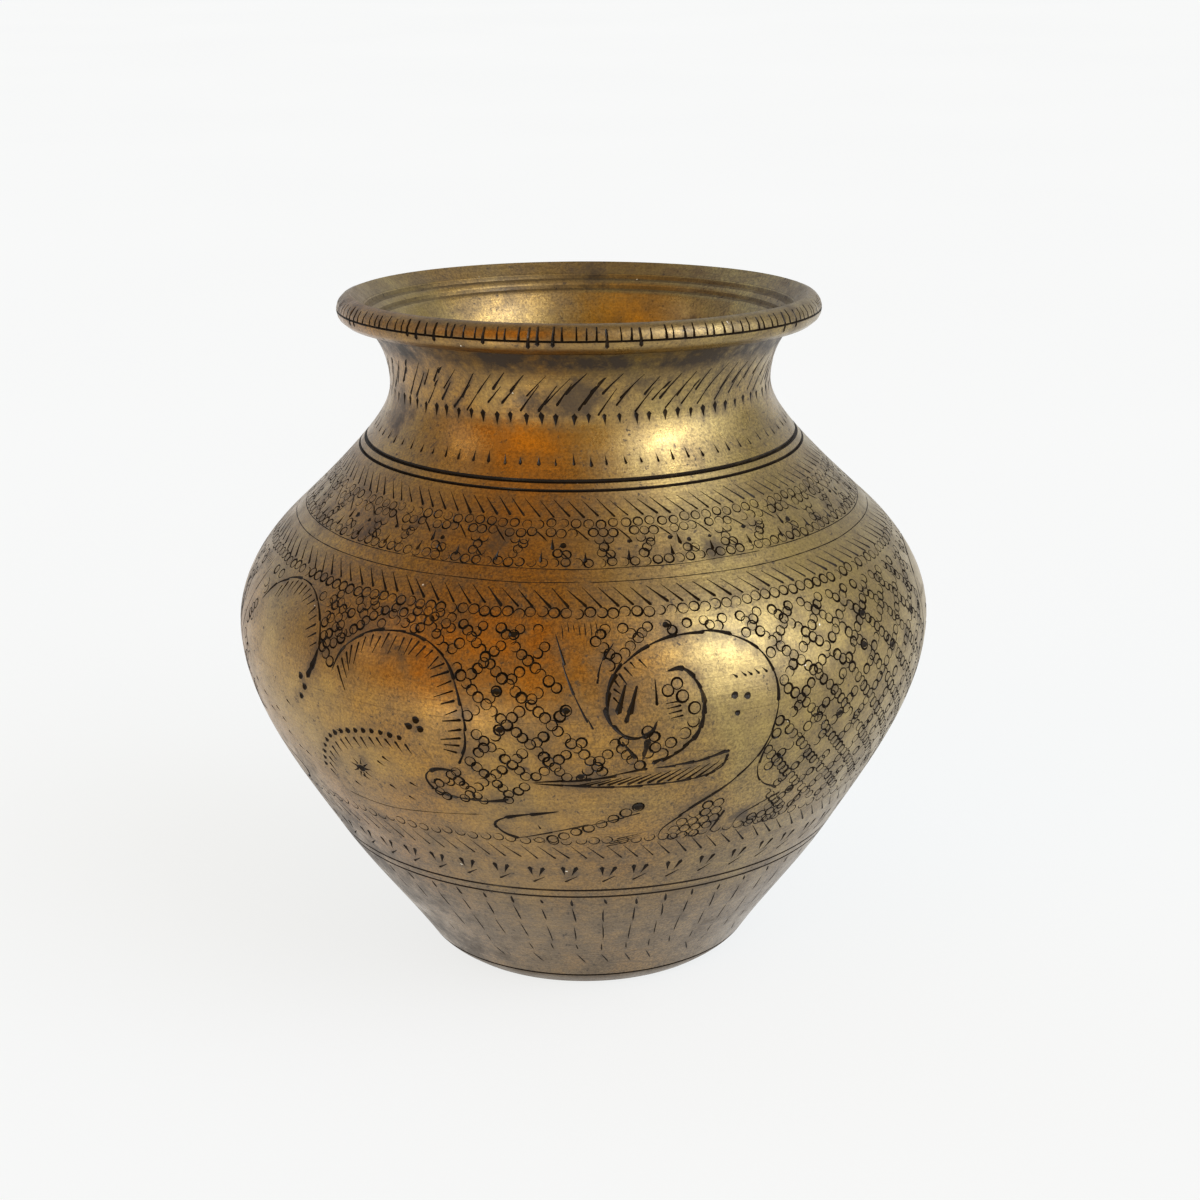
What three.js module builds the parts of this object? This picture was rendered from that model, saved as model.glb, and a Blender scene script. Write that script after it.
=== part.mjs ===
// Lota: a small round-bellied brass water pot, brazed together from five turned and formed pieces.
// Millimetres. The pot stands on z = 0, its axis is +Z, and every piece is a ring or disc about that axis.
import * as THREE from "three";

// Body, as rises from one level of the outline to the next, from the table up
const BASE_RISE = 2.8; // table to the seam between base plate and bowl
const CONE_RISE = 22.6; // base seam to the steepest part of the lower cone
const BELLY_RISE = 35.1; // lower cone to the widest girth
const SHOULDER_RISE = 18.5; // widest girth to the middle of the shoulder
const COLLAR_RISE = 13.5; // shoulder to the seam under the neck
const WAIST_RISE = 9; // neck seam to the narrowest part of the neck
const LIP_RISE = 11.5; // narrowest part of the neck to the end of the lip

const FOOT_RADIUS = 26;
const BASE_SEAM_RADIUS = 29.2;
const CONE_RADIUS = 45;
const BELLY_RADIUS = 60;
const SHOULDER_RADIUS = 50.2;
const COLLAR_RADIUS = 37;
const WAIST_RADIUS = 32.5;
const LIP_RADIUS = 37.9;

// Walls and joints
const WALL = 2;
const FLOOR_THICKNESS = 2.2;
const BRAZE_GAP = 0.3; // filled with braze metal on the real pot
const LAP = 3.6; // length of the tongue in each half-lap joint
const RECESS_DEPTH = 0.9; // turned hollow under the base, so that the pot stands on a ring
const FOOT_RING_WIDTH = 3.6;

// Bead round the mouth
const BEAD_RADIUS = 2.5;
const BEAD_OVERHANG = 1.1; // how far the bead's centre lies beyond the end of the lip
const BEAD_INSET = 0.3; // how far its centre lies inside the lip's outer face
const CREASE_DEPTH = 0.35;
const CREASE_HALF_ANGLE = 0.13;
const SEAT_STEP = 0.05; // fineness with which the bead's seat is ended on its circle

// The mouth was set by hand and leans: one side of the rim stands higher than the other
const RIM_LEAN = 0.038;
const RIM_HIGH_SIDE = -1.81; // direction of the high side about +Z, in radians
const LEAN_STARTS = 4; // height above the neck seam
const LEAN_FULL = 17; // height above the neck seam from which the lean is whole

// Turned lines: how far each lies above or below its level, and the shape of its groove
const LINE_DEPTH = 0.3;
const LINE_HALF_WIDTH = 0.3;
const NECK_LINE_DROP = 1.25; // below the neck seam
const UPPER_CONE_LINE = 0.8; // above the cone level
const LOWER_CONE_LINE = 0.8; // below the cone level

const SIDES = 48;

// Levels of the outline: height, radius, and change of radius with height
const FOOT = { z: 0, radius: FOOT_RADIUS, slope: 1.42 };
const BASE_SEAM = { z: BASE_RISE, radius: BASE_SEAM_RADIUS, slope: 0.64 };
const CONE = { z: BASE_SEAM.z + CONE_RISE, radius: CONE_RADIUS, slope: 0.6 };
const BELLY = { z: CONE.z + BELLY_RISE, radius: BELLY_RADIUS, slope: 0 };
const SHOULDER = { z: BELLY.z + SHOULDER_RISE, radius: SHOULDER_RADIUS, slope: -1.07 };
const COLLAR = { z: SHOULDER.z + COLLAR_RISE, radius: COLLAR_RADIUS, slope: -0.83 };
const WAIST = { z: COLLAR.z + WAIST_RISE, radius: WAIST_RADIUS, slope: 0 };
const LIP = { z: WAIST.z + LIP_RISE, radius: LIP_RADIUS, slope: 1.1 };
const LEVELS = [FOOT, BASE_SEAM, CONE, BELLY, SHOULDER, COLLAR, WAIST, LIP];

// Radius and slope of the outer face at a height: one smooth cubic between each two levels
function outerFace(z) {
  let upper = LEVELS.findIndex((level) => level.z >= z - 1e-9);
  upper = Math.min(Math.max(upper, 1), LEVELS.length - 1);
  const a = LEVELS[upper - 1];
  const b = LEVELS[upper];
  const rise = b.z - a.z;
  const t = (z - a.z) / rise;
  const radius =
    (1 + 2 * t) * (1 - t) ** 2 * a.radius +
    t * (1 - t) ** 2 * rise * a.slope +
    t ** 2 * (3 - 2 * t) * b.radius +
    t ** 2 * (t - 1) * rise * b.slope;
  const slope =
    (6 * t * (t - 1) * (a.radius - b.radius)) / rise +
    (1 - t) * (1 - 3 * t) * a.slope +
    t * (3 * t - 2) * b.slope;
  return { radius, slope };
}

// Point of the wall that lies a given depth below the outer face, as (radius, height)
function wallPoint(z, depth) {
  const { radius, slope } = outerFace(z);
  const length = Math.hypot(1, slope);
  return new THREE.Vector2(radius - depth / length, z + (depth * slope) / length);
}

// Points along the wall at one depth, from one height to another
function wallLine(from, to, depth, steps) {
  return Array.from({ length: steps + 1 }, (_, i) =>
    wallPoint(from + ((to - from) * i) / steps, depth),
  );
}

// The outer face with its turned lines cut into it
function outerLine(from, to, steps, lines) {
  const stops = Array.from({ length: steps + 1 }, (_, i) => ({
    z: from + ((to - from) * i) / steps,
    depth: 0,
  })).filter((stop) => lines.every((line) => Math.abs(stop.z - line) > 2 * LINE_HALF_WIDTH));
  for (const line of lines) {
    stops.push({ z: line - LINE_HALF_WIDTH, depth: 0 });
    stops.push({ z: line, depth: LINE_DEPTH });
    stops.push({ z: line + LINE_HALF_WIDTH, depth: 0 });
  }
  stops.sort((a, b) => a.z - b.z);
  return stops.map((stop) => wallPoint(stop.z, stop.depth));
}

// Half-lap joints: the lower piece has an inner tongue, and the upper piece's outer skin covers it
const TONGUE_DEPTH = (WALL + BRAZE_GAP) / 2;
const SKIN_DEPTH = (WALL - BRAZE_GAP) / 2;
const below = (seam) => seam - BRAZE_GAP / 2;
const above = (seam) => seam + BRAZE_GAP / 2;

function tongueAbove(seam) {
  return wallLine(below(seam), below(seam) + LAP, TONGUE_DEPTH, 2);
}

function rebateAbove(seam) {
  return wallLine(above(seam) + LAP, above(seam), SKIN_DEPTH, 2);
}

// Leans the mouth: heights change with the place round the pot, fading out down the neck
function lean(geometry) {
  const position = geometry.getAttribute("position");
  for (let i = 0; i < position.count; i++) {
    const x = position.getX(i);
    const y = position.getY(i);
    const z = position.getZ(i);
    const share = THREE.MathUtils.smoothstep(z, COLLAR.z + LEAN_STARTS, COLLAR.z + LEAN_FULL);
    const highSide = x * Math.cos(RIM_HIGH_SIDE) + y * Math.sin(RIM_HIGH_SIDE);
    position.setZ(i, z + RIM_LEAN * share * highSide);
  }
  return geometry;
}

function brass(color, roughness) {
  return new THREE.MeshStandardMaterial({ color, roughness, metalness: 1 });
}

// A turned piece: its outline, which runs anticlockwise in (radius, height), spun about +Z
function turned(name, outline, material) {
  const geometry = new THREE.LatheGeometry(outline, SIDES).rotateX(Math.PI / 2);
  const mesh = new THREE.Mesh(lean(geometry), material);
  mesh.name = name;
  return mesh;
}

const closed = (outline) => [...outline, outline[0].clone()];

// Foot disc: stands on a ring, and its tongue rises inside the bowl
function basePlate() {
  const floorTop = RECESS_DEPTH + FLOOR_THICKNESS;
  const ringInside = FOOT_RADIUS - FOOT_RING_WIDTH;
  const innerFoot = wallPoint(below(BASE_SEAM.z), WALL);
  const tongue = tongueAbove(BASE_SEAM.z);
  const tongueInside = wallLine(below(BASE_SEAM.z) + LAP, below(BASE_SEAM.z), WALL, 2);
  return turned(
    "base_plate",
    [
      new THREE.Vector2(0, RECESS_DEPTH),
      new THREE.Vector2(ringInside - RECESS_DEPTH, RECESS_DEPTH),
      new THREE.Vector2(ringInside, 0),
      ...wallLine(FOOT.z, below(BASE_SEAM.z), 0, 4),
      ...tongue,
      ...tongueInside,
      new THREE.Vector2(innerFoot.x - (innerFoot.y - floorTop), floorTop),
      new THREE.Vector2(0, floorTop),
    ],
    brass(0x8a7448, 0.45),
  );
}

// Lower half of the body, from the base seam to the widest girth
function lowerBowl() {
  const lines = [CONE.z - LOWER_CONE_LINE, CONE.z + UPPER_CONE_LINE];
  return turned(
    "lower_bowl",
    closed([
      ...outerLine(above(BASE_SEAM.z), below(BELLY.z), 12, lines),
      ...tongueAbove(BELLY.z),
      ...wallLine(below(BELLY.z) + LAP, above(BASE_SEAM.z) + LAP, WALL, 12),
      ...rebateAbove(BASE_SEAM.z),
    ]),
    brass(0x8f7440, 0.4),
  );
}

// Upper half of the body, from the widest girth to the neck seam
function shoulderShell() {
  return turned(
    "shoulder_shell",
    closed([
      ...outerLine(above(BELLY.z), below(COLLAR.z), 11, [COLLAR.z - NECK_LINE_DROP]),
      ...tongueAbove(COLLAR.z),
      ...wallLine(below(COLLAR.z) + LAP, above(BELLY.z) + LAP, WALL, 11),
      ...rebateAbove(BELLY.z),
    ]),
    brass(0x94783c, 0.38),
  );
}

// Neck, flaring from the neck seam through the waist to the lip that carries the bead
function neckCollar() {
  return turned(
    "neck_collar",
    closed([
      ...wallLine(above(COLLAR.z), LIP.z, 0, 11),
      ...wallLine(LIP.z, above(COLLAR.z) + LAP, WALL, 10),
      ...rebateAbove(COLLAR.z),
    ]),
    brass(0x90703a, 0.38),
  );
}

// Height at which the bead's seat, just outside the lip, leaves the bead's circle
function seatFoot(centre) {
  let z = LIP.z;
  while (wallPoint(z, -BRAZE_GAP).distanceTo(centre) < BEAD_RADIUS) z -= SEAT_STEP;
  return z;
}

// Half-round bead that sits over the lip, with a turned crease round it.
// Its section is drawn in the lip's own directions: along the lip and square to it.
function rimRing() {
  const lipEnd = wallPoint(LIP.z, 0);
  const along = new THREE.Vector2(LIP.slope, 1).normalize();
  const outward = new THREE.Vector2(along.y, -along.x);
  const place = (run, out) =>
    lipEnd.clone().addScaledVector(along, run).addScaledVector(outward, out);
  const centre = place(BEAD_OVERHANG, -BEAD_INSET);
  const seat = wallLine(LIP.z, seatFoot(centre), -BRAZE_GAP, 2);
  const foot = seat[seat.length - 1];
  const top = place(BEAD_OVERHANG + Math.sqrt(BEAD_RADIUS ** 2 - (WALL - BEAD_INSET) ** 2), -WALL);
  const angleOf = (point) => Math.atan2(point.y - centre.y, point.x - centre.x);
  const arc = (from, to, steps) =>
    Array.from({ length: steps + 1 }, (_, i) => {
      const angle = from + ((to - from) * i) / steps;
      const x = centre.x + BEAD_RADIUS * Math.cos(angle);
      return new THREE.Vector2(x, centre.y + BEAD_RADIUS * Math.sin(angle));
    });
  return turned(
    "rim_ring",
    closed([
      ...arc(angleOf(foot), -CREASE_HALF_ANGLE, 5),
      new THREE.Vector2(centre.x + BEAD_RADIUS - CREASE_DEPTH, centre.y),
      ...arc(CREASE_HALF_ANGLE, angleOf(top), 6),
      place(BRAZE_GAP, -WALL),
      place(BRAZE_GAP, BRAZE_GAP),
      ...seat.slice(0, -1),
    ]),
    brass(0x9a7d3e, 0.35),
  );
}

const pot = new THREE.Group();
pot.name = "lota";
pot.add(basePlate());
pot.add(lowerBowl());
pot.add(shoulderShell());
pot.add(neckCollar());
pot.add(rimRing());

export default pot;
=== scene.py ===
"""Looks of the brass lota: five turned pieces with hand-cut engraving, aged brass, floor, light and camera.

Lengths are in millimetres until a mesh is made. The pot's outside is unrolled on a plane (u, v): u runs round
the pot, v runs up it, and one unit of either is a millimetre at the widest girth. The unrolling keeps angles,
so a small circle drawn on the plane is a small circle on the pot, wherever it lies.
"""

import math
import random

import bpy
import numpy as np
from mathutils import Matrix, Vector
from mathutils.geometry import delaunay_2d_cdt


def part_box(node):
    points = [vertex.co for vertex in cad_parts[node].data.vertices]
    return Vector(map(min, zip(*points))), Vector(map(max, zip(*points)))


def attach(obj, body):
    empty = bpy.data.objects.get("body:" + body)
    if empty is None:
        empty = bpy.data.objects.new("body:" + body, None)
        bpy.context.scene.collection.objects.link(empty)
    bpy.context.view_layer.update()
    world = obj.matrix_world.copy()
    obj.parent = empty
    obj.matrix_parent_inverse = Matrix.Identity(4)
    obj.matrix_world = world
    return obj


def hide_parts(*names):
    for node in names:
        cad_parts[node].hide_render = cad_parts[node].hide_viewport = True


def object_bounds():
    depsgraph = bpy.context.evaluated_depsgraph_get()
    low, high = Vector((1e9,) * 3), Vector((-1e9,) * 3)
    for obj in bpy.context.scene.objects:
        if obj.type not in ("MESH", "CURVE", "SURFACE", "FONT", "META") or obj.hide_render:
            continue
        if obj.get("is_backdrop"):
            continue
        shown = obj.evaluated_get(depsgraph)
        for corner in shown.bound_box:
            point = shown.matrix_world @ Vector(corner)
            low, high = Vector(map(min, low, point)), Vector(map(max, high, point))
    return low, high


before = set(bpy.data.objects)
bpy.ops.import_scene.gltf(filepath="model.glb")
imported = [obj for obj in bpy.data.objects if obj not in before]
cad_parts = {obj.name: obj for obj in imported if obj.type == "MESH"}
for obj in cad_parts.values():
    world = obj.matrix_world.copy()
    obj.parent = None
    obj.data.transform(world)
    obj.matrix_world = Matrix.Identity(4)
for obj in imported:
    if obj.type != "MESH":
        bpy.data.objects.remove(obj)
cad_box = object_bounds()

MM = 0.001

# Outline of the pot, level by level: height, radius, change of radius with height
BRAZE_GAP = 0.3
FOOT_RADIUS = 26
BELLY_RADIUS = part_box("lower_bowl")[1].x / MM
BASE_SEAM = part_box("lower_bowl")[0].z / MM - BRAZE_GAP / 2
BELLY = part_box("shoulder_shell")[0].z / MM - BRAZE_GAP / 2
COLLAR = BELLY + 32
LIP = COLLAR + 20.5
LEVELS = np.array(
    [
        (0, FOOT_RADIUS, 1.42),
        (BASE_SEAM, 29.2, 0.64),
        (BASE_SEAM + 22.6, 45, 0.6),
        (BELLY, BELLY_RADIUS, 0),
        (BELLY + 18.5, 50.2, -1.07),
        (COLLAR, 37, -0.83),
        (COLLAR + 9, 32.5, 0),
        (LIP, 37.9, 1.1),
    ]
)
WALL = 2.0
LAP = 3.6
TONGUE_DEPTH = (WALL + BRAZE_GAP) / 2
SKIN_DEPTH = (WALL - BRAZE_GAP) / 2
RECESS_DEPTH = 0.9
FLOOR_THICKNESS = 2.2
FOOT_RING_WIDTH = 3.6
BEAD_RADIUS = 2.5
BEAD_OVERHANG = 1.1
BEAD_INSET = 0.3
RIM_LEAN = 0.038
RIM_HIGH_SIDE = -1.81
LEAN_STARTS = COLLAR + 4
LEAN_FULL = COLLAR + 17
OUTLINE_STEPS = 2400
BEAD_STEPS = 400

# Turned grooves: half-width, depth
NECK_GROOVE = (0.62, 0.55)
UPPER_NECK_GROOVE = (0.42, 0.45)
CONE_GROOVE = (0.34, 0.3)
BASE_GROOVE = (0.5, 0.4)
CREASE_GROOVE = (0.27, 0.3)

# Mesh
TURN = 2 * math.pi * BELLY_RADIUS  # length of u once round the pot
COLUMNS = 180
ROW_STEP = 2.1
INNER_SIDES = 128
SEAM_GAP = 0.03  # a filed joint shows no more than this
FRONT = -math.pi / 2  # direction of u = 0, which faces the viewer
TURNED, ON_SHEET, IN_CUT = range(3)  # kinds of face
SHEET_CLEARANCE = 0.15  # cuts stay this far inside the sheet
SOOT_CELL = 0.5
MAP_STEP = 1.5  # room for one turned strip in the map of faces
FULL_CROWD = 0.09  # cuts this crowded hold all the grime they can
# Painted shade under the bead: how dark the grime attribute gets there, and the height on the neck where it
# starts.
UNDER_BEAD_SHADE = 1.7
UNDER_BEAD_SHADE_FROM = 106
TOUCH = 0.002  # a point closer than this to an edge of the sheet is on it

# Pattern
NECK_STROKE_TOPS = (105.8, 107.4)
UPPER_SPIKES = 101.5
LOWER_SPIKES = 94.7
REPEATS = (0, TURN / 2)  # where the frieze's figures begin
MOTIFS = 42
CURVE_STEP = 0.25
CHAIN_STEP = 0.7
DIAMOND = 6.85
LATTICE_STEP = 1.02
LATTICE_GAP = 0.95
LATTICE_RING = 0.85
LATTICE_TOP = 16.2
LATTICE_LOW = -23.4
LATTICE_DEPTH = 42
# Dashes down the cone, by height: top, bottom, half-width
CONE_DASHES = ((23.9, 22.4, 0.34), (21.6, 17.9, 0.24), (17.2, 12.6, 0.19), (11.8, 9.8, 0.2))

rng = random.Random(11)


# Outline and unrolling


def outer_face(z):
    """Radius and slope of the pot's outer face at heights z."""
    i = np.clip(np.searchsorted(LEVELS[:, 0], z) - 1, 0, len(LEVELS) - 2)
    z0, r0, s0 = LEVELS[i].T
    z1, r1, s1 = LEVELS[i + 1].T
    rise = z1 - z0
    t = (z - z0) / rise
    radius = (
        (1 + 2 * t) * (1 - t) ** 2 * r0
        + t * (1 - t) ** 2 * rise * s0
        + t**2 * (3 - 2 * t) * r1
        + t**2 * (t - 1) * rise * s1
    )
    slope = 6 * t * (t - 1) * (r0 - r1) / rise + (1 - t) * (1 - 3 * t) * s0 + t * (3 * t - 2) * s1
    return radius, slope


def wall_point(z, depth):
    """(radius, height) of the wall at a depth below the outer face."""
    radius, slope = outer_face(np.asarray(z, float))
    length = np.hypot(1, slope)
    return radius - depth / length, z + depth * slope / length


class Outline:
    """A turned outline that can be unrolled: v for each of its points, and back."""

    def __init__(self, radius, height, zero):
        self.radius = np.asarray(radius, float)
        self.height = np.asarray(height, float)
        run = np.hypot(np.diff(self.radius), np.diff(self.height))
        middle = (self.radius[1:] + self.radius[:-1]) / 2
        v = np.concatenate([[0], np.cumsum(run * BELLY_RADIUS / middle)])
        self.v = v - v[zero]
        along = np.gradient(self.radius), np.gradient(self.height)
        length = np.hypot(*along)
        self.normal_r = along[1] / length
        self.normal_z = -along[0] / length

    def at(self, v):
        """Radius, height and outward normal at v."""
        rows = (self.radius, self.height, self.normal_r, self.normal_z)
        return [np.interp(v, self.v, row) for row in rows]


def body_outline():
    z = np.linspace(0, LIP, OUTLINE_STEPS)
    radius, _ = outer_face(z)
    return Outline(radius, z, int(np.argmin(abs(z - BELLY))))


BODY = body_outline()


def v_of(z):
    return float(np.interp(z, BODY.height, BODY.v))


def lean(points):
    """Leans the mouth: heights change round the pot, and the change fades out down the neck."""
    t = np.clip((points[:, 2] - LEAN_STARTS) / (LEAN_FULL - LEAN_STARTS), 0, 1)
    share = t * t * (3 - 2 * t)
    high_side = points[:, 0] * math.cos(RIM_HIGH_SIDE) + points[:, 1] * math.sin(RIM_HIGH_SIDE)
    leaned = points.copy()
    leaned[:, 2] += RIM_LEAN * share * high_side
    return leaned


# Cuts of the graver and the punches


class Cut:
    """One V-shaped cut: a run of points on the plane, with its half-width and depth at each."""

    def __init__(self, points, half, depth, closed=False):
        self.points = np.asarray(points, float)
        self.half = np.broadcast_to(np.asarray(half, float), len(self.points)).copy()
        self.depth = np.broadcast_to(np.asarray(depth, float), len(self.points)).copy()
        self.closed = closed


def jitter(amount):
    return rng.uniform(-amount, amount)


def wedge(p, q, half, depth=0.22, start=0.0):
    """A graver stroke, thin at p and broad at q."""
    p, q = np.array(p, float), np.array(q, float)
    middle = p + (q - p) * 0.55
    return Cut(
        [p, middle, q],
        [start * half, (0.5 + 0.3 * start) * half, half],
        [0.3 * depth, 0.7 * depth, depth],
    )


def stroke(p, q, half, depth=0.16):
    """A graver stroke that tapers at both ends."""
    p, q = np.array(p, float), np.array(q, float)
    bend = np.array([q[1] - p[1], p[0] - q[0]]) * jitter(0.03)
    return Cut(
        [p, p + (q - p) * 0.3 + bend, p + (q - p) * 0.75 + bend, q],
        [0, 0.8 * half, half, 0],
        [0.05, 0.8 * depth, depth, 0.05],
    )


def ring_punch(centre, radius, sweep, start, half, depth=0.15):
    """A struck ring, or part of one where the punch was tilted."""
    steps = max(4, round(sweep / 34))
    turns = np.radians(start + sweep * np.arange(steps + (sweep < 360)) / steps)
    points = np.array(centre) + radius * np.stack([np.cos(turns), np.sin(turns)], -1)
    if sweep >= 360:
        press = 1 + 0.38 * np.cos(turns - rng.uniform(-math.pi, math.pi))
        return Cut(points, half * press, depth * press, closed=True)
    swell = np.sin(np.linspace(0, math.pi, len(points))) ** 0.5
    return Cut(points, half * swell, depth * (0.2 + 0.8 * swell))


def hand_ring(centre, radius=0.92):
    """A ring punch as the hand left it: a little off, now and then tilted, light or heavy."""
    at = (centre[0] + jitter(0.09), centre[1] + jitter(0.09))
    size = radius * (1 + jitter(0.05))
    force = rng.choice((0.8, 0.95, 1.1, 1.3))
    sweep, start = 360, 0
    if rng.random() < 0.24:
        sweep, start = rng.uniform(200, 320), rng.uniform(150, 300)
    return ring_punch(at, size, sweep, start, 0.13 * force, 0.15 * force)


def pit(centre, radius, depth=0.25):
    """A round punched dot."""
    turns = np.linspace(math.pi, 0, 7)
    middle = [(centre[0] + radius * math.cos(turn), centre[1]) for turn in turns]
    return Cut(middle, radius * np.sin(turns), depth * np.sin(turns) ** 0.5)


def smooth_run(points, step):
    """Points about a step apart on a smooth curve through the given ones."""
    p = np.array(points, float)
    p = np.vstack([2 * p[0] - p[1], p, 2 * p[-1] - p[-2]])
    out = []
    for a, b, c, d in zip(p, p[1:], p[2:], p[3:]):
        count = max(2, round(np.linalg.norm(c - b) / CURVE_STEP))
        t = np.arange(count)[:, None] / count
        bend = (2 * a - 5 * b + 4 * c - d) * t**2 + (3 * b - a - 3 * c + d) * t**3
        out.append(b + 0.5 * ((c - a) * t + bend))
    dense = np.vstack([*out, p[-2:-1]])
    run = np.concatenate([[0], np.cumsum(np.linalg.norm(np.diff(dense, axis=0), axis=1))])
    stops = np.linspace(0, run[-1], max(2, round(run[-1] / step) + 1))
    return np.stack([np.interp(stops, run, dense[:, k]) for k in (0, 1)], -1)


def chased_line(points, half=0.2, depth=0.2, piece=4.2):
    """A contour cut as a chain of overlapping strokes, each thin at its start."""
    line = smooth_run(points, CHAIN_STEP)
    per = max(3, round(piece / CHAIN_STEP))
    for first in range(0, len(line) - 2, per):
        part = line[first : first + per + 2] + (jitter(0.17), jitter(0.17))
        share = np.linspace(0, 1, len(part))
        width = half * (0.4 + 1.1 * share) * rng.uniform(0.85, 1.45)
        width[0] = 0
        yield Cut(part, width, depth * (0.3 + 0.7 * share))


def thin_line(points, half=0.1, depth=0.09):
    """A light scribed line of uneven weight."""
    line = smooth_run(points, 1.6)
    weight = np.array([rng.uniform(0.6, 1.15) for _ in line])
    weight[[0, -1]] = 0
    return Cut(line, half * weight, depth * (0.3 + 0.7 * weight))


def around(count):
    """Places once round the pot, none of them on the meridian where the unrolled sheet closes."""
    return [((i + 0.5) / count - 0.5) * TURN for i in range(count)]


# Bands of the pattern


def leaning_row(count, top, bottom, run, half):
    """A row of slanted strokes round the pot, from top to bottom, each leaning run to the right."""
    for u in around(count):
        u += jitter(0.25)
        high, low = top + jitter(0.35), bottom + jitter(0.25)
        p, q = (u - run / 2 + jitter(0.2), high), (u + run / 2 + jitter(0.2), low)
        yield wedge(p, q, half * rng.uniform(0.75, 1.25), 0.18, 0.25)


def ring_row(count, v, uneven, radius):
    """A row of ring punches round the pot."""
    for u in around(count):
        yield hand_ring((u, v + jitter(uneven)), radius)


def neck_band():
    """Slanted strokes under the rim, and two rows of small triangular punches."""
    for k, u in enumerate(around(136)):
        u += jitter(0.9)
        high = v_of(NECK_STROKE_TOPS[k % 2]) + jitter(0.9)
        low = high - rng.uniform(4.4, 7.6)
        lean_run = (high - low) * rng.uniform(0.75, 1.05)
        half = rng.uniform(0.24, 0.5)
        yield wedge((u + lean_run / 2, high), (u - lean_run / 2, low), half, 0.2, 0.3)
        if rng.random() < 0.2:
            yield stroke((u + 3.4, high + 0.4), (u + 0.6, high - 2.2), half, 0.16)
    for u in around(82):
        u += jitter(0.5)
        top = v_of(UPPER_SPIKES) + jitter(0.25)
        yield wedge((u + jitter(0.3), top - rng.uniform(2.2, 3.1)), (u, top), rng.uniform(0.66, 0.95), 0.34)
    for u in around(80):
        u += jitter(0.35)
        foot = v_of(LOWER_SPIKES) + jitter(0.2)
        size = rng.uniform(0.34, 0.6)
        yield wedge((u - 0.35 + jitter(0.2), foot + rng.uniform(1.8, 3.4)), (u, foot), size, 0.26)


def hanging_motif(kind, u):
    """Rings that hang in a triangle or lead down in a slant, with strokes, spikes and dots between."""
    for shift in (-2.3, 0, 2.3):
        yield hand_ring((u + shift + jitter(0.25), 35.8 + jitter(0.25)), 1.05)
    if kind < 2:
        for shift in (-1.1, 1.1):
            yield ring_punch((u + shift + jitter(0.2), 33.9 + jitter(0.2)), 1.02, 230, 160, 0.15)
    if kind == 0:
        yield hand_ring((u + jitter(0.3), 32.1 + jitter(0.25)), 1.0)
    if kind == 2:
        yield pit((u + 0.4, 32.7 + jitter(0.4)), rng.uniform(0.52, 0.7))
        yield wedge((u - 2, 34.6), (u - 1.8, 32), 0.45, 0.26)
    slant = u + TURN / MOTIFS / 2
    yield stroke((slant - 1.8, 36.9 + jitter(0.5)), (slant + 1.6, 33.4 + jitter(0.5)), 0.2)
    if rng.random() < 0.5:
        yield pit((slant + 0.8, 33 + jitter(0.5)), rng.uniform(0.4, 0.62))
    top = 31.6 + jitter(0.4)
    yield wedge((slant + 0.5, top), (slant + 0.4 + jitter(0.2), top - 2.3), 0.42, 0.24)
    if kind == 1:
        for step in range(3):
            yield hand_ring((u + 0.9 * step - 1, 30.4 + 1.25 * step), 0.98)
    else:
        yield hand_ring((u - 0.6, 30.8), 0.98)
        yield hand_ring((u + 1.1, 30.5), 0.98)
        yield stroke((u - 0.6, 32), (u + 2, 29.2), 0.18)


def shoulder_band():
    """Between the neck seam and the scribed lines: strokes, ring rows and hanging motifs."""
    yield from leaning_row(112, 44.2, 39.8, 3.8, 0.3)
    yield from ring_row(136, 38, 0.3, 1.1)
    yield from ring_row(164, 28.6, 0.12, 0.98)
    for k, u in enumerate(around(MOTIFS)):
        yield from hanging_motif(k % 3, u)
    for count, v in ((5, 27.25), (4, 24.3)):
        yield from scribed_circle(count, v)


def scribed_circle(count, v):
    """A line scribed round the pot by hand, in lengths whose ends miss each other a little."""
    length = TURN / count
    for k in range(count):
        start = k * length - TURN / 2
        stops = np.linspace(start + 0.8, start + length - 0.8 * (k == count - 1), 9)
        yield thin_line([(u, v + jitter(0.16)) for u in stops], 0.11, 0.09)


def frieze_border():
    """Slanted strokes and the ring row over the frieze."""
    yield from leaning_row(128, 22.9, 19.4, 3.2, 0.27)
    yield from ring_row(184, 18.1, 0.22, 0.94)


def lower_border():
    """Under the frieze: tilted rings, slanted strokes and rows of three-toed marks."""
    for u in around(150):
        yield ring_punch((u + jitter(0.2), -25.1 + jitter(0.3)), 0.98, rng.uniform(170, 360), 160, 0.14)
    yield from leaning_row(118, -26.9, -30.6, 2.9, 0.22)
    for u in around(54):
        u += jitter(0.5)
        v = -34 + jitter(0.25)
        yield wedge((u - 0.9, v - 2.7), (u - 1.1, v), 0.52, 0.28)
        yield wedge((u + 0.4, v - 3), (u + 1.5, v - 0.1), 0.5, 0.28)
        yield wedge((u + 1.6, v - 3), (u - 0.8, v - 4.8), 0.3, 0.2, 0.3)


def cone_marks():
    """Long dashes down the lower cone, fading towards the foot."""
    for u in around(54):
        u += jitter(0.5)
        for top, bottom, half in CONE_DASHES:
            if rng.random() < 0.08:
                continue
            high, low = v_of(top + jitter(0.3)), v_of(bottom + jitter(0.4))
            yield stroke((u + jitter(0.2), high), (u + 0.5 + jitter(0.3), low), half, 0.18)
        if rng.random() < 0.7:
            yield stroke((u, v_of(8.8)), (u + 2.8, v_of(6.2)), 0.26, 0.12)


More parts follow.
